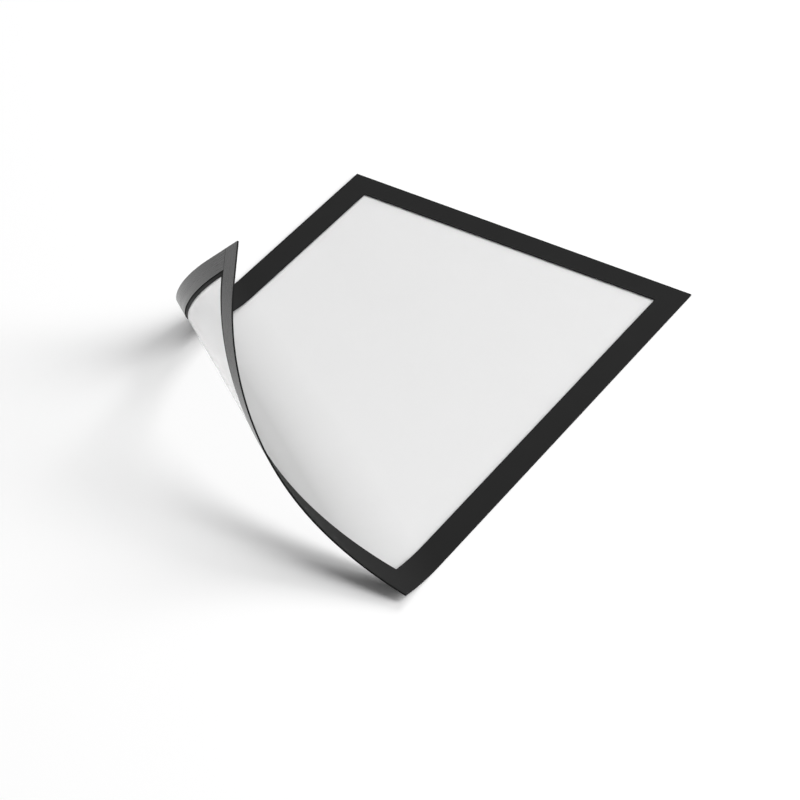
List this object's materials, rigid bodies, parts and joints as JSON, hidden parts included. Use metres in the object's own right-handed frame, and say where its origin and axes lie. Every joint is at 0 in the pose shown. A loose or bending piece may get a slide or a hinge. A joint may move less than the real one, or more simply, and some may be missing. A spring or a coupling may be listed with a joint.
{
  "type": "magnetic display frame",
  "caption": "Flexible A4 display frame: clear window film, black front border and magnetic strips on the back, with one corner peeled up in a curl.",
  "frame": {"origin": "middle of the flat frame's outline, on the plane that the backs of the magnetic strips lie on", "axes": "+Z out of the front of the window, +Y towards the top short side, +X towards the right long side as seen from the front"},
  "size_m": [0.2365, 0.3227, 0.1169],
  "materials": {
    "window_film": "clear film with a fine matt grain",
    "front_border": "matt black foil",
    "magnet_strip": "satin dark grey magnetic rubber"
  },
  "bodies": {
    "panel": {"front_border": "front_border", "left_magnet": "magnet_strip", "right_magnet": "magnet_strip", "top_magnet": "magnet_strip", "window_film": "window_film"},
    "fold_1": {"bottom_magnet_fold_1": "magnet_strip", "front_border_bottom_fold_1": "front_border", "front_border_left_fold_1": "front_border", "left_magnet_fold_1": "magnet_strip", "right_magnet_fold_1": "magnet_strip", "window_film_fold_1": "window_film"},
    "fold_2": {"bottom_magnet_fold_2": "magnet_strip", "front_border_bottom_fold_2": "front_border", "front_border_left_fold_2": "front_border", "left_magnet_fold_2": "magnet_strip", "window_film_fold_2": "window_film"},
    "fold_3": {"bottom_magnet_fold_3": "magnet_strip", "front_border_bottom_fold_3": "front_border", "front_border_left_fold_3": "front_border", "left_magnet_fold_3": "magnet_strip", "window_film_fold_3": "window_film"},
    "fold_4": {"bottom_magnet_fold_4": "magnet_strip", "front_border_bottom_fold_4": "front_border", "front_border_left_fold_4": "front_border", "left_magnet_fold_4": "magnet_strip", "window_film_fold_4": "window_film"},
    "fold_5": {"bottom_magnet_fold_5": "magnet_strip", "front_border_bottom_fold_5": "front_border", "front_border_left_fold_5": "front_border", "left_magnet_fold_5": "magnet_strip", "window_film_fold_5": "window_film"},
    "fold_6": {"bottom_magnet_fold_6": "magnet_strip", "front_border_bottom_fold_6": "front_border", "front_border_left_fold_6": "front_border", "left_magnet_fold_6": "magnet_strip", "window_film_fold_6": "window_film"},
    "fold_7": {"bottom_magnet_fold_7": "magnet_strip", "front_border_bottom_fold_7": "front_border", "front_border_left_fold_7": "front_border", "left_magnet_fold_7": "magnet_strip", "window_film_fold_7": "window_film"},
    "fold_8": {"bottom_magnet_fold_8": "magnet_strip", "front_border_bottom_fold_8": "front_border", "front_border_left_fold_8": "front_border", "left_magnet_fold_8": "magnet_strip", "window_film_fold_8": "window_film"},
    "fold_9": {"bottom_magnet_fold_9": "magnet_strip", "front_border_bottom_fold_9": "front_border", "front_border_left_fold_9": "front_border", "left_magnet_fold_9": "magnet_strip", "window_film_fold_9": "window_film"},
    "fold_10": {"bottom_magnet_fold_10": "magnet_strip", "front_border_fold_10": "front_border", "left_magnet_fold_10": "magnet_strip", "window_film_fold_10": "window_film"}
  },
  "joints": [
    {"name": "peel", "type": "hinge", "parent": "panel", "child": "fold_1", "pos_m": [0, -0.05643, 0.00068], "axis": [-0.8284, 0.5601, 0], "range_deg": [-12, 3]},
    {"name": "peel_2", "type": "hinge", "parent": "fold_1", "child": "fold_2", "pos_m": [0.00021, -0.07681, 0.00424], "axis": [-0.8236, 0.5672, -0.0018], "range_deg": [-12, 3]},
    {"name": "peel_3", "type": "hinge", "parent": "fold_2", "child": "fold_3", "pos_m": [-0.01231, -0.08557, 0.0106], "axis": [-0.8157, 0.5784, -0.0079], "range_deg": [-12, 3]},
    {"name": "peel_4", "type": "hinge", "parent": "fold_3", "child": "fold_4", "pos_m": [-0.02436, -0.09049, 0.01852], "axis": [-0.8069, 0.5904, -0.0188], "range_deg": [-12, 3]},
    {"name": "peel_5", "type": "hinge", "parent": "fold_4", "child": "fold_5", "pos_m": [-0.03377, -0.09338, 0.02717], "axis": [-0.7985, 0.601, -0.0337], "range_deg": [-12, 3]},
    {"name": "peel_6", "type": "hinge", "parent": "fold_5", "child": "fold_6", "pos_m": [-0.04132, -0.09463, 0.03658], "axis": [-0.7911, 0.6094, -0.053], "range_deg": [-12, 3]},
    {"name": "peel_7", "type": "hinge", "parent": "fold_6", "child": "fold_7", "pos_m": [-0.04768, -0.0943, 0.04742], "axis": [-0.7845, 0.6151, -0.0791], "range_deg": [-12, 3]},
    {"name": "peel_8", "type": "hinge", "parent": "fold_7", "child": "fold_8", "pos_m": [-0.05284, -0.09205, 0.06028], "axis": [-0.7793, 0.616, -0.1151], "range_deg": [-12, 3]},
    {"name": "peel_9", "type": "hinge", "parent": "fold_8", "child": "fold_9", "pos_m": [-0.05604, -0.08753, 0.07494], "axis": [-0.7771, 0.6078, -0.1631], "range_deg": [-12, 3]},
    {"name": "peel_10", "type": "hinge", "parent": "fold_9", "child": "fold_10", "pos_m": [-0.05623, -0.08089, 0.09026], "axis": [-0.7798, 0.5856, -0.2214], "range_deg": [-12, 3]}
  ],
  "couplings": [
    {"joint": "peel_2", "follows": "peel", "ratio": 1},
    {"joint": "peel_3", "follows": "peel", "ratio": 1},
    {"joint": "peel_4", "follows": "peel", "ratio": 1},
    {"joint": "peel_5", "follows": "peel", "ratio": 1},
    {"joint": "peel_6", "follows": "peel", "ratio": 1},
    {"joint": "peel_7", "follows": "peel", "ratio": 1},
    {"joint": "peel_8", "follows": "peel", "ratio": 1},
    {"joint": "peel_9", "follows": "peel", "ratio": 1},
    {"joint": "peel_10", "follows": "peel", "ratio": 1}
  ]
}
